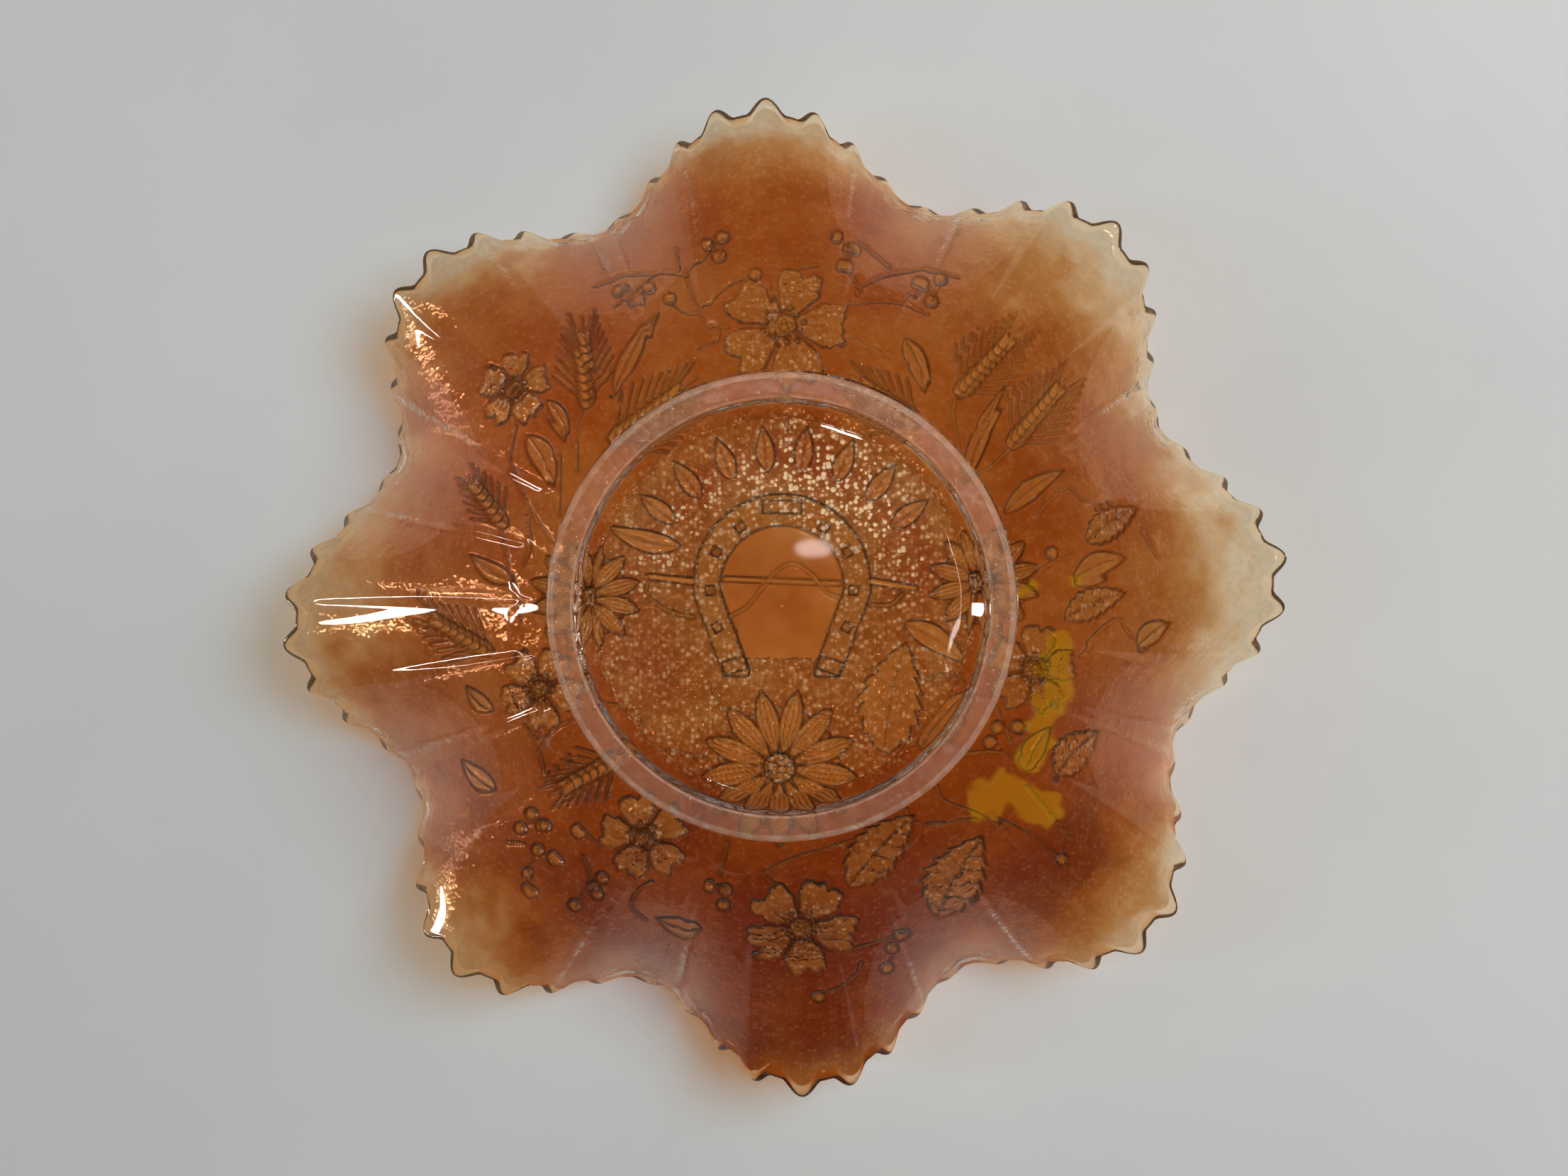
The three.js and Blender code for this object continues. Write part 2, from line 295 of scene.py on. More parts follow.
def daisy(x, y, radius, petals, turn, heart=0.2):
    """Two layers of long fluted petals round a stippled heart."""
    idx = near(x, y, radius * 1.05)
    u, v = local(idx, x, y, turn)
    r, a = np.hypot(u, v), np.arctan2(v, u)
    root = heart * 0.7
    for half_step, reach, rise in ((0.5, 0.78, 0.5), (0.0, 1.0, RAISED)):
        t = (a * petals / TURN + half_step) % 1 - 0.5
        p = np.clip((r / radius - root) / (reach - root), 0, 1)
        widest = 0.58 * radius * math.sin(math.pi / petals)
        half = widest * np.sin(math.pi * p**1.25) ** 0.8
        across = r * np.sin(t * TURN / petals)
        inside = np.where((p > 0) & (p < 1), half - np.abs(across), -1.0)
        press(idx, inside, rise, edge=0.5, stipple=0.5)
        # Grooves in the petals, with painted shade in them.
        for offset in (-0.5, 0.0, 0.5):
            groove = np.exp(-(((across - offset * half) / 0.2) ** 2))
            groove *= smooth(inside / 0.5) * smooth(4 * p)
            height[idx] -= 0.38 * groove
            edge_shade[idx] = np.maximum(edge_shade[idx], 0.8 * groove)
    press(idx, heart * radius - r, RAISED + 0.45, stipple=1.6)


def leaf(x, y, turn, length, width, notches=0, veins=0, bend=0.0, stipple=1.0, rise=0.85):
    idx = near(x, y, length * 0.6 + 1)
    u, v = local(idx, x, y, turn)
    v = v + bend * (u * u / (length * length) * 4 - 0.5)
    p = np.clip(u / length + 0.5, 0, 1)
    half = width / 2 * np.sin(math.pi * p**0.8) ** 0.85
    if notches:
        half = half * (1 + 0.28 * (0.5 - (p * notches) % 1))
    inside = np.minimum(half - np.abs(v), length / 2 - np.abs(u))
    press(idx, inside, rise, edge=0.6, stipple=stipple, edge_shade_strength=0.95)
    within = smooth(inside / 0.4)
    # A midrib and veins pressed in, with painted shade in them.
    rib = np.exp(-((v / 0.3) ** 2)) * within
    height[idx] -= 0.4 * rib
    edge_shade[idx] = np.maximum(edge_shade[idx], 0.7 * rib)
    if veins:
        slant = (p * veins - np.abs(v) / width * 1.5) % 1 - 0.5
        vein = np.exp(-((slant * length / veins / 0.32) ** 2)) * within * smooth(half / 2)
        height[idx] -= 0.25 * vein
        edge_shade[idx] = np.maximum(edge_shade[idx], 0.35 * vein)


def wheat_ear(x, y, turn, length, width):
    """Plump grains up both sides of a stalk, each with a straight awn that fans out."""
    c, s = math.cos(turn), math.sin(turn)

    def at(u, v):
        return np.array([x + u * c - v * s, y + u * s + v * c])

    grains = max(5, round(length / 2.4))
    for i in range(grains):
        share = i / (grains - 1)
        start = (share * 0.72 - 0.46) * length
        for side in (-1, 1):
            awn = 0.42 * length * (1 - 0.3 * share)
            lean = 0.8 - 0.5 * share
            tip = at(start + 1.6 + awn * math.cos(lean), side * (1.2 + awn * math.sin(lean)))
            base = at(start + 1.6, side * 1.2)
            stem([base, tip], width=0.6, rise=0.85, taper=0.4, edge_shade_strength=0.72)
    for i in range(grains):
        share = i / (grains - 1)
        start = (share * 0.72 - 0.46) * length
        for side in (-1, 1):
            root, tip = at(start, side * 0.35), at(start + 2.0, side * (1.5 - 0.5 * share))
            idx = around(np.array([root, tip]), 1.8)
            away, along = to_line(idx, np.array([root, tip]))
            inside = 0.95 * (1 - 0.4 * along) - away
            press(idx, inside, rise=1.15, edge=0.5, stipple=0.15, edge_shade_strength=0.9)
    stem([at(0.3 * length, 0), at(0.56 * length, 0)], width=0.5, rise=0.75)


def lie(node):
    """Where a CAD ornament lies in plan: its middle, the way it points, length and width."""
    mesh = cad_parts[node].data
    points = np.array([v.co for v in mesh.vertices])[:, :2] / MM
    middle = (points.min(0) + points.max(0)) / 2
    spread = points - points.mean(0)
    _, axes = np.linalg.eigh(spread.T @ spread)
    way = axes[:, 1]
    if way @ middle < 0:
        way = -way
    along, across = spread @ way, spread @ np.array([-way[1], way[0]])
    turn = math.atan2(way[1], way[0])
    return middle[0], middle[1], turn, np.ptp(along), np.ptp(across)


def nodes_named(start):
    return sorted(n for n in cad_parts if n.startswith(start))


# Where the first petal of each rose points, in degrees.
ROSE_TURNS = {"wild_rose_back": 72, "wild_rose_back_left": 90, "wild_rose_left": 60,
              "wild_rose_front_left": 100, "wild_rose_front": 62, "wild_rose_right": 80}

# The stalks and twigs between the ornaments, as places they pass on the inner face in plan.
STALKS = (
    # round the rose at the back, to its left
    [(-11, 56.3), (-15, 57.3), (-18.5, 64), (-19.5, 68.2), (-17, 71.5), (-14.5, 74)],
    [(-16, 61), (-11, 65.8), (-5.5, 68)],
    [(-19.5, 68.2), (-26, 69), (-31, 65), (-35, 61.5)],
    [(-26, 69), (-33, 68.5), (-40, 66.5)],
    [(-17, 59.5), (-20, 60), (-23, 62)],
    [(-21.5, 69.5), (-22, 74.5)],
    # and to its right
    [(14, 54), (17, 52.5), (20, 51.5)],
    [(-13, 55.5), (-14, 53), (-17, 51.8)],
    [(15, 63.5), (15.5, 65.3), (12.5, 68.5)],
    [(15, 65), (22, 68.3), (31, 69.3), (37, 68)],
    [(22, 70), (18, 73.5), (15, 76)],
    [(13.5, 61.5), (22, 62), (30, 59.5)],
    [(25, 62), (28.5, 65)],
    [(1, 66.5), (2.5, 69), (7, 70)],
    # the wheat at the back right
    [(34.8, 41.5), (34.5, 38), (36, 30)],
    [(46, 32), (42, 28), (36, 25)],
    [(50, 15.5), (53, 20), (58, 23.8), (61, 21.5), (65, 19.5)],
    # the right
    [(50.5, 5), (54, 8.5), (58.5, 10)],
    [(43, -20), (45.5, -26), (49, -33)],
    [(36.5, -30), (42, -29.5), (46, -30.5), (50, -34)],
    [(61, -10.5), (64.5, -6), (69, -3), (71, -5), (74, -9)],
    [(75, 15), (78.5, 9)],
    # the left
    [(-41.5, 27), (-41.5, 34), (-40.5, 40)],
    [(-55, 37), (-56, 30), (-54, 25), (-50, 18), (-46.5, 13)],
    [(-58, 16.5), (-56, 10), (-54, 3), (-53, -3)],
    [(-51.5, 18), (-51, 12), (-52.5, 8)],
    [(-45, 30), (-45, 18)],
    [(-49, -26), (-49.5, -30), (-48.5, -35)],
    [(-49, -29), (-53, -24)],
    [(-49, -29), (-46, -25), (-42, -23)],
    # the front, to the left
    [(-58, -50.5), (-54, -50.5)],
    [(-41, -46.5), (-37.5, -49.5)],
    [(-41.5, -52), (-40.5, -55), (-40, -59)],
    [(-40, -59.5), (-43, -62), (-44, -64)],
    [(-27, -57), (-30, -59), (-32, -63), (-29, -66.5)],
    [(-11, -48), (-12.5, -55)],
    [(-38, -20.5), (-30, -22), (-27, -28), (-20, -30), (-15, -31)],
    # and to the right
    [(-3.5, -54), (3, -51), (8, -49.5), (14, -47.5)],
    [(-3.5, -55.5), (-0.5, -58), (2, -61.5)],
    [(25, -41), (27, -44), (32, -44), (41, -43.5)],
    [(31, -36), (33, -39.5), (40, -42.5), (45, -45), (53, -49), (58, -54)],
    [(50, -37), (55, -43), (61, -50.5)],
    [(14, -72.5), (20, -71), (25, -69)],
    [(16, -76), (15, -79), (10, -82.5), (6.5, -84)],
    # inside the foot ring
    [(-14, -17), (-12, -21), (-8, -25)],
    [(29, -15), (34, -14), (38, -16)],
    [(1.2, 36), (1.2, 40)],
)

LONE_BERRIES = (
    (-5.5, 68), (-23.2, 63), (7.5, -83.8), (-50, -46), (-42, -46.5), (-47.5, -53), (-39, -60.5),
    (43.5, -24.5), (42, -27.5), (47.5, -24.5), (54.5, 10.5), (58.5, -54),
)


# Leaves whose tips point back towards the middle of the bowl.
INWARD = ("leaf_inside_1", "leaf_front_1", "leaf_front_2", "leaf_back_2", "leaf_left_1",
          "leaf_left_2")


VEINED_WIDTH = 5.2  # leaves wider than this have notches and veins


def press_ornaments():
    grain[:] = 0.33 + 0.67 * smooth((42 - np.hypot(X, Y)) / 3)
    for points in STALKS:
        stem(points, width=0.6, rise=0.6)
    for node in nodes_named("leaf_"):
        x, y, turn, length, width = lie(node)
        if node in INWARD:
            turn += math.pi
        if width > VEINED_WIDTH:
            leaf(x, y, turn, length * 1.08, width * 1.1, notches=7, veins=6, bend=0.8, stipple=0.7)
        else:
            leaf(x, y, turn, length * 1.08, width * 1.1, bend=0.8, stipple=0.4)
    for node in nodes_named("arch_leaf_"):
        x, y, turn, length, width = lie(node)
        leaf(x, y, turn, length, width * 1.1, veins=5, stipple=0.5)
    for node in nodes_named("wheat_ear_"):
        x, y, turn, length, width = lie(node)
        wheat_ear(x, y, turn, length, width * 1.2)
    for node, first_petal in ROSE_TURNS.items():
        x, y, _, length, width = lie(node)
        wild_rose(x, y, max(length, width) / 2 * 1.06, math.radians(first_petal))
    for node in nodes_named("daisy_"):
        x, y, _, length, _ = lie(node)
        daisy(x, y, length / 2 * 1.04, 13 if node == "daisy_front" else 12, math.radians(90))
    for node in nodes_named("berries_"):
        berries_of(node)
    for x, y in LONE_BERRIES:
        berry(x, y, radius=1.4)
    horseshoe()
    riding_crop()


def berries_of(node):
    """Berries at the corners of the CAD spray, on stems that meet in its middle."""
    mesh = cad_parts[node].data
    points = np.array([v.co for v in mesh.vertices])[:, :2] / MM
    middle = points.mean(0)
    for spot in spray_tips(points):
        stem([middle, (middle + spot) / 2 + 0.5, spot], width=0.5, rise=0.5)
        berry(spot[0], spot[1], radius=1.45, rise=1.25)


def spray_tips(points):
    """The three places round which a spray's points crowd: the middles of its berries."""
    left = points
    tips = []
    for _ in range(3):
        counts = [(np.hypot(*(left - p).T) < 1.75).sum() for p in left]
        p = left[int(np.argmax(counts))]
        group = left[np.hypot(*(left - p).T) < 3.3]
        tips.append((group.min(0) + group.max(0)) / 2)
        left = left[np.hypot(*(left - tips[-1]).T) > 2.4]
    return tips


SHOE_CENTRE = 4.3  # how far towards the back the middle of its arc lies
SHOE_MIDDLE = 15.2  # the radius of the middle of its bar


def horseshoe():
    arc = [(SHOE_MIDDLE * math.cos(a), SHOE_CENTRE + SHOE_MIDDLE * math.sin(a))
           for a in np.linspace(math.radians(-18), math.radians(198), 38)]
    path = curve([(9.3, -13.2), (12, -6.0)] + arc[2:-2] + [(-12, -6.0), (-9.3, -13.2)], 3)
    idx = near(0, SHOE_CENTRE, 22)
    away, share = to_line(idx, path)
    ends = np.minimum(share, 1 - share)
    half = 2.7 + 0.5 * smooth(ends / 0.5)
    inside = np.minimum(half - away, Y[idx] + 14.3)
    field = (away > half) & (np.hypot(X[idx], Y[idx] - SHOE_CENTRE) < 13)
    field |= (np.abs(X[idx]) < 9) & (Y[idx] < SHOE_CENTRE) & (Y[idx] > -10.5) & (away > half)
    grain[idx[field]] = 0
    height[idx[field]] = 0
    edge_shade[idx[field]] = 0
    press(idx, inside, edge=0.6, stipple=1.15)
    for hand in (-1, 1):
        for x, y in ((8.5, 16), (13.3, 11), (14.6, 3.2), (13.2, -4.3)):
            square_hole(hand * x, y, 0.95, math.atan2(y - SHOE_CENTRE, hand * x))
        square_hole(hand * 9.7, -12.1, 1.4, hand * -0.3, 2.3)
    square_hole(0, 20.1, 1.3, 0, 4.0)


def square_hole(x, y, half, turn, half_length=None):
    idx = near(x, y, 6)
    u, v = local(idx, x, y, turn)
    inside = np.minimum((half_length or half) - np.abs(u), half - np.abs(v))
    # A square dip, with painted shade round its edge.
    dip = smooth(inside / 0.3 + 0.5)
    height[idx] -= 0.6 * dip
    edge_shade[idx] = np.maximum(edge_shade[idx], np.exp(-((inside / 0.3) ** 2)))


def riding_crop():
    """A crop that passes behind the horseshoe, with a loop at each end and a curled lash."""
    for side in (-1, 1):
        stem([(side * 18.3, 5), (side * 27, 4.8 - side * 1.2)],
             width=1.4, rise=0.8, taper=0.2, edge_shade_strength=0.95)
    stem([(-11.5, 5.5), (11.5, 4.6)], width=1.1, rise=0.7, taper=0, edge_shade_strength=0.9)
    for loop in ([(-27.5, 6), (-27, 2), (-23, -1), (-18, -2.3)],
                 [(18, 0.2), (22, 0.3), (24.5, 2.5)]):
        stem(loop, width=0.7, rise=0.6, taper=0, edge_shade_strength=0.8)
    lash = [(-10.8, -2.2), (-7, 0), (-3, 5), (0, 8), (3, 8.5), (6, 6.5), (9, 3), (11.5, 1.8)]
    stem(lash, width=0.7, rise=0.5, taper=0, edge_shade_strength=0.7)


def value_noise(x, y, cell, seed):
    """Smooth random heights between -1 and 1, on a square lattice."""
    field = np.random.default_rng(seed).uniform(-1, 1, (512, 512))
    gx, gy = x / cell + 256, y / cell + 256
    ix, iy = np.floor(gx).astype(int) % 511, np.floor(gy).astype(int) % 511
    fx, fy = smooth(gx % 1), smooth(gy % 1)
    low = field[iy, ix] * (1 - fx) + field[iy, ix + 1] * fx
    high = field[iy + 1, ix] * (1 - fx) + field[iy + 1, ix + 1] * fx
    return low * (1 - fy) + high * fy


press_ornaments()
from_centre = np.hypot(X, Y)
bearing = np.arctan2(Y, X)
WALL_START = 40  # from the centre, in plan

# The mould's stipple, the wall's leathery surface, and slow waves from being worked while hot.
stipple = value_noise(X, Y, cell=0.9, seed=1) + 0.5 * value_noise(X, Y, cell=0.6, seed=2)
height += 0.08 * stipple * np.clip(grain, 0, 1.2)
leathery = value_noise(X, Y, cell=1.8, seed=15)
height += 0.06 * leathery * smooth((from_centre - WALL_START) / 4)
short_wave = value_noise(X, Y, cell=6.0, seed=3)
long_wave = value_noise(X, Y, cell=17.0, seed=8)
height += 0.06 * short_wave + 0.25 * long_wave * smooth((from_centre - 50) / 20)

inner_points = inner_point(all_q, all_angle, -height)

# How deep the sprayed film lies. It is darker towards the front, partly as deeper film and partly
# as painted shade, and thins towards the drawn-out rim: least in the middle of the lobes at the
# back and the front, more on the lobes to the left and the right, and most in the pinches at the
# front and on the lobes to the front's sides, where the paleness in the pinches also stands for a
# painted reflection of hazy light.
THIN_FROM = 73  # from the centre, where the film begins to thin
THIN_OVER = 31  # how far it takes to be thinnest
towards_lobe = wave(bearing)
front = smooth(-Y / 60)
blown = 6 * value_noise(X, Y, cell=9.0, seed=9) + 3 * value_noise(X, Y, cell=3.5, seed=10)
deep_middle = np.exp(-((X / 11) ** 2)) * (1 - smooth((from_centre - 93) / 10))
to_the_side = smooth(np.abs(X) / from_centre.clip(1) * 1.4 - 0.3)
thinning = 0.22 + 0.22 * to_the_side - 0.2 * deep_middle
thinning += 0.08 * smooth(-towards_lobe)
thinning += 0.4 * front * smooth(-1.3 * towards_lobe - 0.1)
thinning += 0.4 * front * smooth(np.abs(X) / 45 - 0.35) * smooth(towards_lobe + 0.6)
film = (0.50 - 0.2 * smooth((WALL_START - from_centre) / 4) + 0.55 * smooth(-Y / 85)
        + 0.10 * value_noise(X, Y, cell=21.0, seed=5) + 0.10 * value_noise(X, Y, cell=8.0, seed=6)
        + 0.06 * value_noise(X, Y, cell=2.4, seed=13)
        - thinning * smooth((from_centre + blown - THIN_FROM) / THIN_OVER)
        - 0.12 * smooth((all_q - FLOOR_R - WALL_LENGTH + 5) / 4))

# Where the film lies deeper or thinner than round it: a place in plan, how far it spreads and
# how much more there is.
CLOUDS = (
    (-68, 48, 14, 0.10), (64, -56, 13, 0.24), (47, 30, 10, 0.11), (0, 78, 12, 0.14),
    (0, 1, 10, 0.25), (-82, -22, 12, 0.18), (58, -14, 12, 0.10), (20, 84, 9, 0.18),
    (69, -17, 8, 0.06), (-4, 101, 9, -0.14), (-92, 4, 12, -0.12), (-62, -73, 11, -0.16),
    (-69, 66, 8, -0.08), (12, -94, 9, 0.05), (24, -68, 10, 0.14), (-2, -22, 6, -0.06),
    (-97, -19, 7, 0.07),
)
for x, y, spread, more in CLOUDS:
    film += more * np.exp(-((np.hypot(X - x, Y - y) / spread) ** 2))

# Painted glints: bright flecks on the stipple stand for light glinting off it, most between the
# arch of leaves and the horseshoe, to the back right.
painted_glints = np.exp(-((np.hypot(X - 11, Y - 25) / 13) ** 2))
painted_glints += 0.5 * np.exp(-(((from_centre - 27) / 5) ** 2)) * smooth((Y + 4) / 14)

# Painted pink sheen, standing for the film's iridescent reflection: along the arch of leaves, to
# the front left of the horseshoe, and faintly on the wall to the back left.
pink_sheen = 0.9 * np.exp(-(((from_centre - 30) / 5) ** 2)) * smooth((Y + 4) / 14)
pink_sheen += np.exp(-((np.hypot(X + 30, Y + 12) / 9) ** 2))
pink_sheen += 0.35 * smooth((from_centre - 48) / 10) * smooth(-X / 70 + 0.3) * smooth(Y / 60 + 0.4)
pink_sheen = np.clip(pink_sheen * (0.8 + 0.6 * value_noise(X, Y, cell=3.0, seed=12)), 0, 1)

# Painted reflection: a milky haze in the pinches towards the front, standing for light reflected
# in the film.
haze_sheen = smooth((from_centre - 79) / 12) * smooth(-1.2 * towards_lobe - 0.1) * smooth(-Y / 50)
haze_sheen = np.clip(haze_sheen * (0.85 + 0.4 * value_noise(X, Y, cell=5.0, seed=16)), 0, 1)

# A painted reflection of yellow light in the film, on a few patches to the right and the front
# right: a line through each, and how far it spreads from that line.
gold_reflection = np.zeros_like(X)
GOLD_REFLECTION_PATCHES = (
    ([(41, -40), (46, -37.5), (51, -40), (54, -42)], 4.5),
    ([(56, -8), (55.5, -16), (53, -24), (50, -31)], 4.0),
    ([(46, 2.5), (54, 4.5), (61, 5.5)], 1.0),
)
for points, half in GOLD_REFLECTION_PATCHES:
    idx = around(np.array(points), half + 6)
    away, _ = to_line(idx, curve(points))
    ragged = 1.6 * value_noise(X[idx], Y[idx], cell=2.2, seed=11)
    gold_reflection[idx] = np.maximum(gold_reflection[idx], smooth((half + ragged - away) / 1.5))

# ---- the rim ----

HALF_RIM = RIM_THICKNESS / 2


def rim_outwards(angle):
    """The way the wall runs at the rim, in the middle of the glass."""
    lift = np.full_like(angle, HALF_RIM)
    edge = wall_point(np.ones_like(angle), angle, lift)
    back = wall_point(np.full_like(angle, 0.98), angle, lift)
    along = edge - back
    return along / np.linalg.norm(along, axis=-1, keepdims=True)


def stretched(points, s, place):
    """Draws the last of the wall out into the teeth, and back between them."""
    share = smooth((np.asarray(s) - 0.94) / 0.06)
    reach = (TOOTH_LENGTH * tooth(place) - HALF_RIM) * share
    return points + rim_outwards(rim_angle(place)) * reach[..., None]


inner_s = (all_q - FLOOR_R) / WALL_LENGTH
inner_points = stretched(inner_points, inner_s, all_place)

rings = []
start = 0
for n in inner_counts:
    rings.append(inner_points[start:start + n])
    start += n
INNER_RINGS = len(rings)

full = places[AROUND]
full_angle = rim_angle(full)
ones = np.ones_like(full)
ROLL_STEPS = 8
for k in range(1, ROLL_STEPS):
    roll = math.pi * k / ROLL_STEPS
    edge = wall_point(ones, full_angle, HALF_RIM * (1 - math.cos(roll)) * ones)
    stands_out = TOOTH_LENGTH * tooth(full) + HALF_RIM * (math.sin(roll) - 1)
    rings.append(edge + rim_outwards(full_angle) * stands_out[:, None])
BARE = 0.9  # how much less film the nubs carry than the rim between them
roll_film = np.tile(film[-AROUND:] - BARE * tooth(full) ** 2, ROLL_STEPS - 1)

# ---- the outside: panels and ribs, then the foot ring and the base ----


def outside_lift(s, angle):
    """The glass's thickness: a long hollow panel between each pair of flat-topped ribs."""
    radius = section(s)[..., 0]
    place = (angle - PANEL_TURN) * PANELS / TURN
    a = 1 - np.abs((place % 1) - 0.5) * 2  # 0 on a rib and 1 in the middle of a panel
    from_rib = a * math.pi * radius / PANELS
    rib_half = 0.6 + 1.9 * smooth((radius - 48) / 60)
    rib = 0.45 * smooth((rib_half - from_rib) / 1.9 + 0.5)
    arch = 49.6 + 4.6 * np.sqrt(np.clip(a * (2 - a), 0, 1))
    sunk = 0.45 * smooth((radius - arch) / 0.9 + 0.5)
    hollow = 0.4 * (1 - (1 - a) ** 2) * smooth((radius - 54) / 10)
    fade = 1 - 0.5 * smooth((np.asarray(s) - 0.9) / 0.1)
    return thickness(s) + (rib * smooth((radius - 50) / 3) - sunk - hollow) * fade


outer_s = np.linspace(1, 0.125, 92)
for s in outer_s:
    around_it = section(s)[0] * np.stack([np.cos(full_angle), np.sin(full_angle)])
    lift = outside_lift(s * ones, full_angle) + 0.12 * value_noise(*around_it, cell=11.0, seed=14)
    rings.append(stretched(wall_point(s * ones, full_angle, lift), s * ones, full))


WOBBLE_RADIUS = 47  # the radius on which the foot ring's unevenness is drawn


def level_ring(radius, z, n, wobble=0.0):
    angle = rim_angle(places[n])
    x, y = np.cos(angle) * WOBBLE_RADIUS, np.sin(angle) * WOBBLE_RADIUS
    ripple = wobble * value_noise(x, y, cell=5.0, seed=4)
    return np.stack([radius * np.cos(angle), radius * np.sin(angle), z + ripple], axis=-1)


def rounded(corner_r, corner_z, radius, start, stop, steps):
    """Part of a circle in section, about a centre."""
    return [(corner_r + radius * math.cos(a), corner_z + radius * math.sin(a))
            for a in np.linspace(math.radians(start), math.radians(stop), steps)]


# The foot ring in section: outer side, rounded corner, level top, steep inner side, then a
# collar that slopes to a thin crease at the edge of the base. Radius and height.
foot_profile = (
    [(FOOT_R + 0.75, 53.45), (FOOT_R + 0.35, 53.9), (FOOT_R + 0.12, 54.7), (FOOT_R + 0.02, 56.0)]
    + rounded(FOOT_R - 0.7, TOP - 0.7, 0.7, 0, 90, 5)
    + [(FOOT_R - share * 4.0, TOP) for share in (0.35, 0.55, 0.75, 0.95)]
    + rounded(FOOT_R - 4.8, TOP - 0.9, 0.9, 90, 165, 5)
    + [(FOOT_R - 6.1, BASE_TOP + 1.9), (FOOT_R - 6.9, BASE_TOP + 1.3)]
    + [(FOOT_R - 8.6, BASE_TOP + 0.35), (FOOT_R - 9.0, BASE_TOP - 0.1), (FOOT_R - 9.3, BASE_TOP)]
)
FOOT_START = len(rings)
# The rings between which the two corners of the foot ring, pale as a painted highlight, and its
# level top lie.
HIGHLIGHT_RINGS = ((FOOT_START + 6, FOOT_START + 9), (FOOT_START + 13, FOOT_START + 15))
TOP_RINGS = (FOOT_START + 9, FOOT_START + 13)
for r, z in foot_profile:
    rings.append(level_ring(r, z, AROUND // 2, 0.12))
for r in np.linspace(FOOT_R - 11, 2, 12):
    n = AROUND // 2 if r > 20 else (AROUND // 4 if r > 10 else AROUND // 8)
    rings.append(level_ring(r, BASE_TOP, n))

# ---- the mesh ----


def faces_between(first, n, second, m):
    """Faces that join a ring of n points to the next ring, of n, 2n or n/2 points."""
    i = np.arange(min(n, m))
    j = i + 1
    if n == m:
        return np.stack([first + i, first + j % n, second + j % m, second + i], 1).tolist()
    if m == 2 * n:
        a, b = first + i, first + j % n
        c, d, e = second + 2 * i, second + 2 * i + 1, second + (2 * i + 2) % m
        return np.concatenate([
            np.stack([a, d, c], 1), np.stack([a, b, d], 1), np.stack([b, e, d], 1)]).tolist()
    a, b, c = first + 2 * i, first + 2 * i + 1, first + (2 * i + 2) % n
    d, e = second + i, second + j % m
    return np.concatenate([
        np.stack([a, b, d], 1), np.stack([b, e, d], 1), np.stack([b, c, e], 1)]).tolist()


def make_bowl():
    counts = [len(ring) for ring in rings]
    starts = np.concatenate([[0], np.cumsum(counts)])
    points = np.concatenate(rings + [[[0, 0, FLOOR_Z]], [[0, 0, BASE_TOP]]])
    first_pole, last_pole = len(points) - 2, len(points) - 1
    n = counts[0]
    faces = [[first_pole, (i + 1) % n, i] for i in range(n)]
    done = []
    for k in range(len(rings) - 1):
        faces += faces_between(int(starts[k]), counts[k], int(starts[k + 1]), counts[k + 1])
        done.append(len(faces))
    filmed_faces = done[INNER_RINGS + ROLL_STEPS // 2 - 2]
    n, s = counts[-1], int(starts[-2])
    faces += [[s + i, s + (i + 1) % n, last_pole] for i in range(n)]
    mesh = bpy.data.meshes.new("glass_bowl")
    mesh.from_pydata((points * MM).tolist(), [], faces)
    mesh.update()
    slots = np.ones(len(faces), np.int32)
    slots[:filmed_faces] = 0
    for slot, (first, last) in ((2, HIGHLIGHT_RINGS[0]), (2, HIGHLIGHT_RINGS[1]), (3, TOP_RINGS)):
        slots[done[first - 1]:done[last - 1]] = slot
    mesh.polygons.foreach_set("material_index", slots)
    mesh.polygons.foreach_set("use_smooth", np.ones(len(faces), bool))
    for name, values in (("edge_shade", edge_shade), ("grain", grain), ("relief", height),
                         ("film", np.concatenate([film, roll_film])), ("gold_reflection", gold_reflection),
                         ("pink_sheen", pink_sheen), ("painted_glints", painted_glints), ("haze_sheen", haze_sheen)):
        data = np.zeros(len(points), np.float32)
        data[:len(values)] = values
        mesh.attributes.new(name, "FLOAT", "POINT").data.foreach_set("value", data)
    bowl = bpy.data.objects.new("glass_bowl", mesh)
    bpy.context.scene.collection.objects.link(bowl)
    return bowl


# ---- materials ----


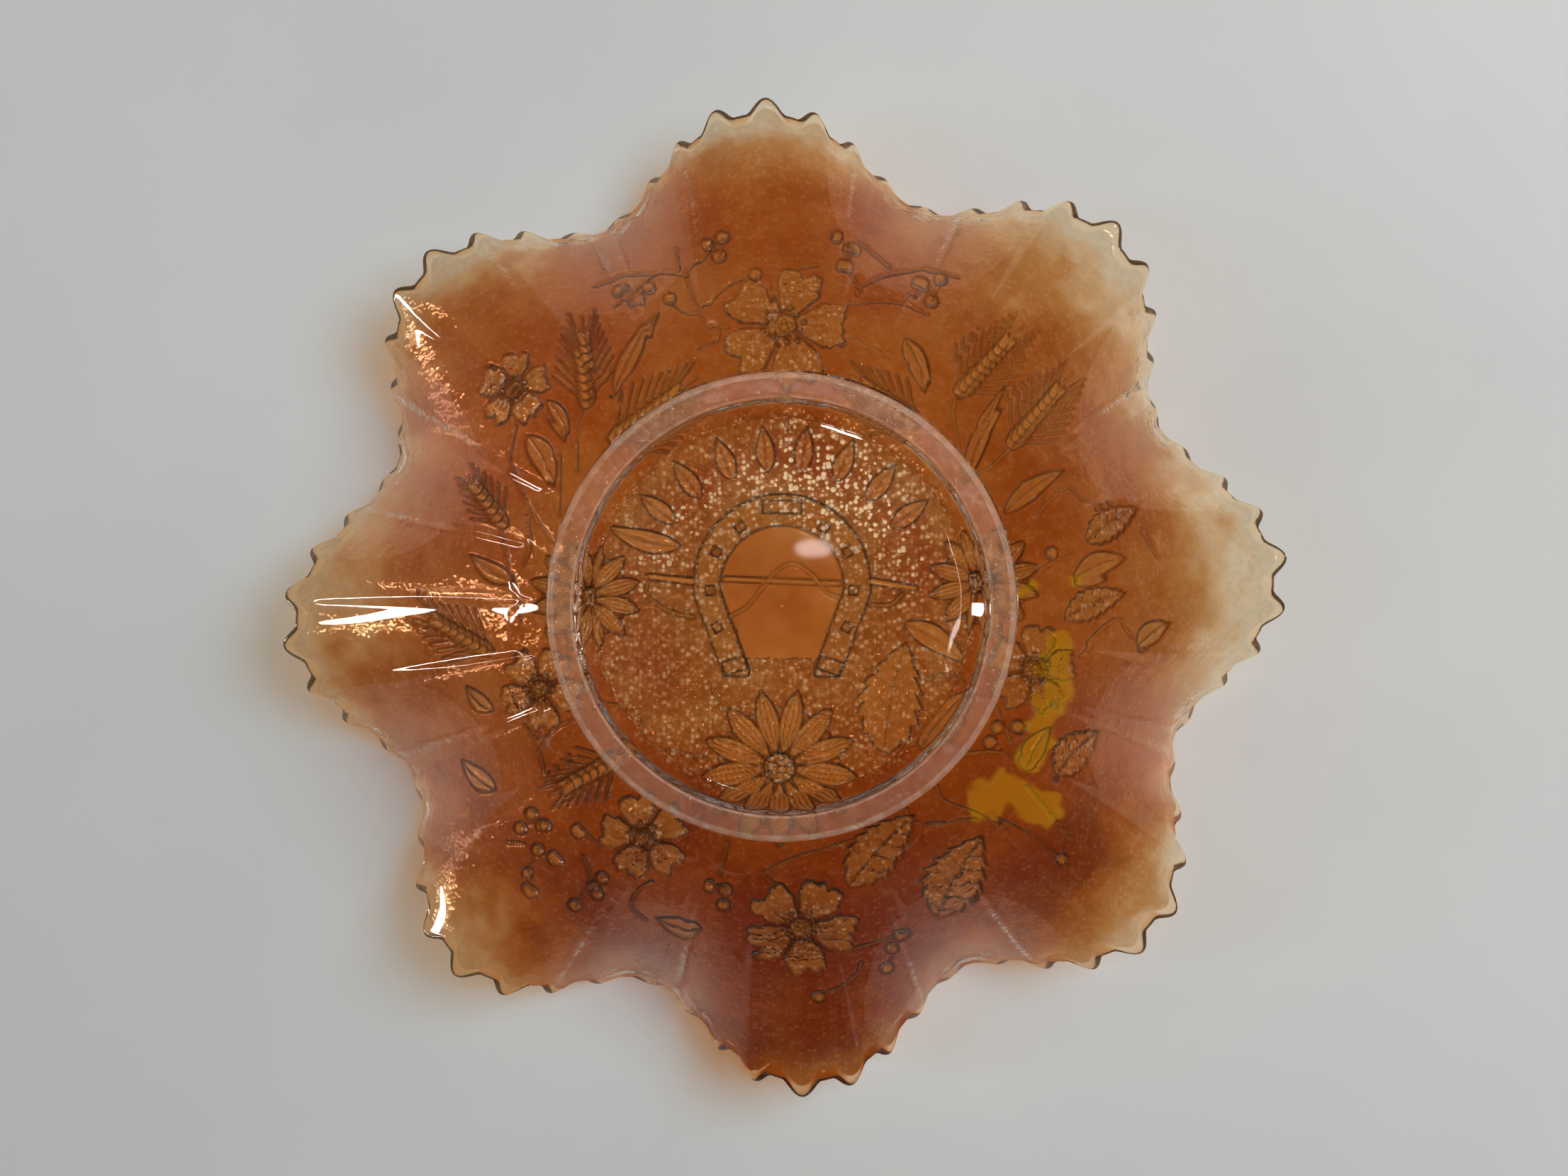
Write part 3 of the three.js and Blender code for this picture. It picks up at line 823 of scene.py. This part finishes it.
class Nodes:
    """A short way to write a node tree."""

    def __init__(self, name):
        self.material = bpy.data.materials.new(name)
        self.material.use_nodes = True
        self.tree = self.material.node_tree
        self.tree.nodes.clear()

    def add(self, kind, inputs=None, **settings):
        node = self.tree.nodes.new(kind)
        for key, value in settings.items():
            setattr(node, key, value)
        for key, value in (inputs or {}).items():
            socket = node.inputs[key]
            if isinstance(value, bpy.types.NodeSocket):
                self.tree.links.new(value, socket)
            else:
                socket.default_value = value
        return node

    def attribute(self, name):
        return self.add("ShaderNodeAttribute", attribute_name=name).outputs["Fac"]

    def noise(self, scale, detail=3.0, **more):
        where = self.add("ShaderNodeTexCoord").outputs["Object"]
        return self.add("ShaderNodeTexNoise", {"Vector": where, "Scale": scale,
                                               "Detail": detail, **more}).outputs["Fac"]

    def math(self, operation, a, b=0.0, clamp=False, c=0.0):
        return self.add("ShaderNodeMath", {0: a, 1: b, 2: c}, operation=operation,
                        use_clamp=clamp).outputs[0]

    def mix(self, share, a, b):
        node = self.add("ShaderNodeMix", data_type="RGBA")
        for key, value in ((0, share), (6, a), (7, b)):
            if isinstance(value, bpy.types.NodeSocket):
                self.tree.links.new(value, node.inputs[key])
            else:
                node.inputs[key].default_value = value
        return node.outputs[2]

    def ramp(self, value, stops):
        node = self.add("ShaderNodeValToRGB", {"Fac": value})
        ramp = node.color_ramp
        while len(ramp.elements) < len(stops):
            ramp.elements.new(0.5)
        for element, (place, colour) in zip(ramp.elements, stops):
            element.position = place
            element.color = (*colour, 1)
        return node.outputs["Color"]

    def finish(self, surface):
        self.add("ShaderNodeOutputMaterial", {"Surface": surface})
        return self.material

    def lets_light_through(self, shader, tint):
        """Glass that throws a tinted light and no black shadow."""
        path = self.add("ShaderNodeLightPath").outputs["Is Shadow Ray"]
        clear = self.add("ShaderNodeBsdfTransparent", {"Color": tint}).outputs[0]
        return self.add("ShaderNodeMixShader", {0: path, 1: shader, 2: clear}).outputs[0]


# Colours of the film, and of the painted light and shade that show in it.
PINK_SHEEN_COLOUR = (0.62, 0.12, 0.08, 1)
HAZE_SHEEN_COLOUR = (0.80, 0.50, 0.38, 1)
AMBER = (0.84, 0.46, 0.12, 1)
PIT_SHADE_COLOUR = (0.13, 0.03, 0.003, 1)
GLINT_COLOUR = (1.0, 0.86, 0.66, 1)
GOLD_REFLECTION_COLOUR = (0.74, 0.45, 0.01, 1)
EDGE_SHADE_COLOUR = (0.035, 0.008, 0.001, 1)
STIPPLE_SCALE = 1050.0  # cells of stipple in a metre


def film_material():
    """Amber glass with the film on it: the deeper the film, the darker it is. Its colour also
    carries painted light and shade: glints, a pink sheen, a milky haze, a gold reflection, and
    shade in the stipple and along the ornaments' edges.
    """
    n = Nodes("marigold_film")
    depth = n.attribute("film")
    stippled = n.attribute("grain")
    risen = n.math("MULTIPLY", n.attribute("relief"), 0.9, True)
    ground = n.ramp(depth, [
        (0.0, (0.98, 0.79, 0.50)), (0.14, (0.91, 0.57, 0.27)), (0.3, (0.68, 0.27, 0.06)),
        (0.55, (0.48, 0.115, 0.008)), (0.97, (0.19, 0.016, 0.0006))])
    # Painted sheen: the pink of the film's iridescent reflection.
    with_pink_sheen = n.mix(n.math("MULTIPLY", n.attribute("pink_sheen"), 0.6, True), ground, PINK_SHEEN_COLOUR)
    # Painted reflection: the milky haze.
    with_haze_sheen = n.mix(n.math("MULTIPLY", n.attribute("haze_sheen"), 0.55), with_pink_sheen, HAZE_SHEEN_COLOUR)
    raised = n.mix(n.math("MULTIPLY", risen, 0.5), with_haze_sheen, AMBER)
    where = n.add("ShaderNodeTexCoord").outputs["Object"]
    cells = n.add("ShaderNodeTexVoronoi", {"Vector": where, "Scale": STIPPLE_SCALE,
                                              "Randomness": 1.0})
    tone = n.add("ShaderNodeSeparateColor", {"Color": cells.outputs["Color"]}).outputs["Red"]
    middle = n.math("SUBTRACT", 1.3, n.math("MULTIPLY", cells.outputs["Distance"], 2.0), True)
    # Painted glints: bright flecks on the stippled film, stronger where the glints spread and on
    # raised parts.
    glint_paint = n.math("MULTIPLY", n.math("POWER", tone, 2.5), middle)
    lit = n.math("ADD", 1.3, n.math("MULTIPLY", n.attribute("painted_glints"), 2.6))
    lit = n.math("ADD", lit, n.math("MULTIPLY", risen, 0.7))
    rough = n.math("POWER", stippled, 2.0)
    glint_paint = n.math("MULTIPLY", n.math("MULTIPLY", glint_paint, rough), lit, True)
    # Painted shade: the stipple's darker cells stand for shade in its pits, less on raised parts.
    pit_shade = n.math("MULTIPLY", n.math("SUBTRACT", 1.0, tone), stippled, True)
    pit_shade = n.math("MULTIPLY", pit_shade, n.math("SUBTRACT", 0.42, n.math("MULTIPLY", risen, 0.3)))
    with_pit_shade = n.mix(pit_shade, raised, PIT_SHADE_COLOUR)
    with_glints = n.mix(glint_paint, with_pit_shade, GLINT_COLOUR)
    # Painted reflection: the yellow-gold patches.
    with_gold_reflection = n.mix(n.attribute("gold_reflection"), with_glints, GOLD_REFLECTION_COLOUR)
    # Painted shade along the ornaments' outlines and in their creases.
    colour = n.mix(n.math("MULTIPLY", n.attribute("edge_shade"), 0.9, True), with_gold_reflection, EDGE_SHADE_COLOUR)
    # Painted edge shade, painted glint flecks and the painted milky haze let less light through.
    through = n.math("MULTIPLY_ADD", n.attribute("edge_shade"), -0.85, True, 0.94)
    glint_flecks = n.math("MULTIPLY", glint_paint, n.math("ADD", n.attribute("painted_glints"), 0.2), True)
    through = n.math("SUBTRACT", through, n.math("MULTIPLY", glint_flecks, 0.6), True)
    through = n.math("SUBTRACT", through, n.math("MULTIPLY", n.attribute("haze_sheen"), 0.3), True)
    pits = n.math("MULTIPLY", cells.outputs["Distance"], rough)
    bump = n.add("ShaderNodeBump", {"Height": pits, "Strength": 0.9, "Distance": 0.0004})
    shader = n.add("ShaderNodeBsdfPrincipled", {
        "Base Color": colour, "Metallic": n.math("MULTIPLY", stippled, 0.22), "Roughness": 0.09,
        "IOR": 1.5, "Specular IOR Level": 0.25, "Specular Tint": (1.0, 0.76, 0.54, 1),
        "Transmission Weight": through, "Normal": bump.outputs[0]})
    tint = n.ramp(depth, [(0.0, (0.79, 0.66, 0.49)), (0.3, (0.74, 0.43, 0.19)),
                          (0.6, (0.70, 0.31, 0.07))])
    return n.finish(n.lets_light_through(shader.outputs[0], tint))


def clear_material():
    n = Nodes("clear_glass")
    shader = n.add("ShaderNodeBsdfPrincipled", {
        "Base Color": (0.97, 0.93, 0.88, 1), "Roughness": 0.03, "IOR": 1.52,
        "Specular IOR Level": 0.45, "Transmission Weight": 1.0})
    return n.finish(n.lets_light_through(shader.outputs[0], (0.95, 0.93, 0.9, 1)))


def foot_material(name, faint, strong, roughness, through):
    """Clear glass with short streaks, made more or less pale and dull; on the foot ring's corners
    the pale dull glass is a painted highlight.
    """
    n = Nodes(name)
    streaks = n.noise(320, 4, Roughness=0.7)
    colour = n.ramp(streaks, [(0.38, faint), (0.6, strong)])
    bump = n.add("ShaderNodeBump", {"Height": streaks, "Strength": 0.5, "Distance": 0.0008})
    shader = n.add("ShaderNodeBsdfPrincipled", {
        "Base Color": colour, "Roughness": roughness, "IOR": 1.5, "Transmission Weight": through,
        "Normal": bump.outputs[0]})
    return n.finish(n.lets_light_through(shader.outputs[0], (0.95, 0.92, 0.88, 1)))


def table_material():
    n = Nodes("table")
    cloud = n.noise(6, 5)
    colour = n.ramp(cloud, [(0.35, (0.51, 0.52, 0.51)), (0.7, (0.555, 0.56, 0.55))])
    shader = n.add("ShaderNodeBsdfPrincipled", {"Base Color": colour, "Roughness": 0.7,
                                                "Specular IOR Level": 0.15})
    return n.finish(shader.outputs[0])


bowl = make_bowl()
bowl.data.materials.append(film_material())
bowl.data.materials.append(clear_material())
# The corners of the foot ring: pale glass as a painted highlight, where light catches them.
bowl.data.materials.append(
    foot_material("foot_corner_highlight", (0.80, 0.63, 0.46), (0.98, 0.90, 0.79), 0.22, 0.8))
bowl.data.materials.append(
    foot_material("streaked_foot", (0.88, 0.72, 0.54), (1.0, 0.94, 0.82), 0.05, 0.91))
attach(bowl, "root")
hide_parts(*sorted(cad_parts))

# ---- table, light and camera ----


# These lengths are in metres, and powers in watts.
TABLE_HALF = 0.42
SKY_STRENGTH = 0.19
SKY_BRIGHT_TO = 0.08  # how far up, as the upward part of a direction
SKY_DIM_FROM = 0.3
CAMERA_PLACE = (0.0070, 0.0150, 0.496)
CAMERA_TARGET = (-0.0002, 0.0026, 0.010)
SENSOR_WIDTH = 36  # in millimetres, as the lens is
LENS = 50.3
CONTRAST_GAMMA = 0.82  # darkens the middle tones a little

# Name, place, target, width and length, power, and whether reflections show it.
LAMPS = (
    ("overhead", (0.80, 0.34, 1.10), (0, 0, 0), (0.9, 0.9), 21.6, False),
    ("lamp", (0.10, 0.30, 1.2), (0, 0, 0), (0.12, 0.08), 1.6, True),
    ("window", (-1.0, -0.04, 0.45), (0, 0, 0.03), (0.8, 0.07), 4, True),
    ("ring_light", (0.132, -0.019, 1.1), (0.04, 0, 0.06), (0.026, 0.12), 0.08, True),
    ("middle_light", (0.005, 0.004, 1.1), (0, 0, 0.06), (0.026, 0.012), 0.007, True),
)


def make_table():
    half = TABLE_HALF
    mesh = bpy.data.meshes.new("table")
    mesh.from_pydata([(-half, -half, 0), (half, -half, 0), (half, half, 0), (-half, half, 0)],
                     [], [(0, 1, 2, 3)])
    table = bpy.data.objects.new("table", mesh)
    bpy.context.scene.collection.objects.link(table)
    mesh.materials.append(table_material())


def make_world():
    """A pale sky that is brightest near the horizon."""
    world = bpy.data.worlds.new("studio")
    world.use_nodes = True
    tree = world.node_tree
    tree.nodes.clear()
    where = tree.nodes.new("ShaderNodeTexCoord")
    split = tree.nodes.new("ShaderNodeSeparateXYZ")
    ramp = tree.nodes.new("ShaderNodeValToRGB")
    ramp.color_ramp.elements[0].position = SKY_BRIGHT_TO
    ramp.color_ramp.elements[0].color = (1, 1, 1, 1)
    ramp.color_ramp.elements[1].position = SKY_DIM_FROM
    ramp.color_ramp.elements[1].color = (0.25, 0.25, 0.25, 1)
    background = tree.nodes.new("ShaderNodeBackground")
    background.inputs["Strength"].default_value = SKY_STRENGTH
    out = tree.nodes.new("ShaderNodeOutputWorld")
    tree.links.new(where.outputs["Generated"], split.inputs[0])
    tree.links.new(split.outputs["Z"], ramp.inputs["Fac"])
    tree.links.new(ramp.outputs["Color"], background.inputs["Color"])
    tree.links.new(background.outputs[0], out.inputs[0])
    bpy.context.scene.world = world


def aim(thing, place, target):
    """Puts a lamp or camera in place, looking at the target, with +Y as its way up."""
    back = (Vector(place) - Vector(target)).normalized()
    side = Vector((0, 1, 0)).cross(back).normalized()
    rows = Matrix((side, back.cross(side), back)).transposed()
    thing.matrix_world = Matrix.Translation(place) @ rows.to_4x4()
    bpy.context.scene.collection.objects.link(thing)


def make_lamp(name, place, target, size, power, seen):
    light = bpy.data.lights.new(name, "AREA")
    light.shape = "ELLIPSE"
    light.size, light.size_y = size
    light.energy = power
    lamp = bpy.data.objects.new(name, light)
    lamp.visible_glossy = seen
    lamp.visible_transmission = seen
    aim(lamp, place, target)


def make_camera():
    camera = bpy.data.cameras.new("camera")
    camera.sensor_width = SENSOR_WIDTH
    camera.lens = LENS
    camera.clip_start = 0.01
    seen = bpy.data.objects.new("camera", camera)
    aim(seen, CAMERA_PLACE, CAMERA_TARGET)
    bpy.context.scene.camera = seen


make_table()
make_world()
for name, place, target, size, power, seen in LAMPS:
    make_lamp(name, place, target, size, power, seen)
make_camera()
bpy.context.scene.view_settings.view_transform = "Standard"
bpy.context.scene.view_settings.gamma = CONTRAST_GAMMA
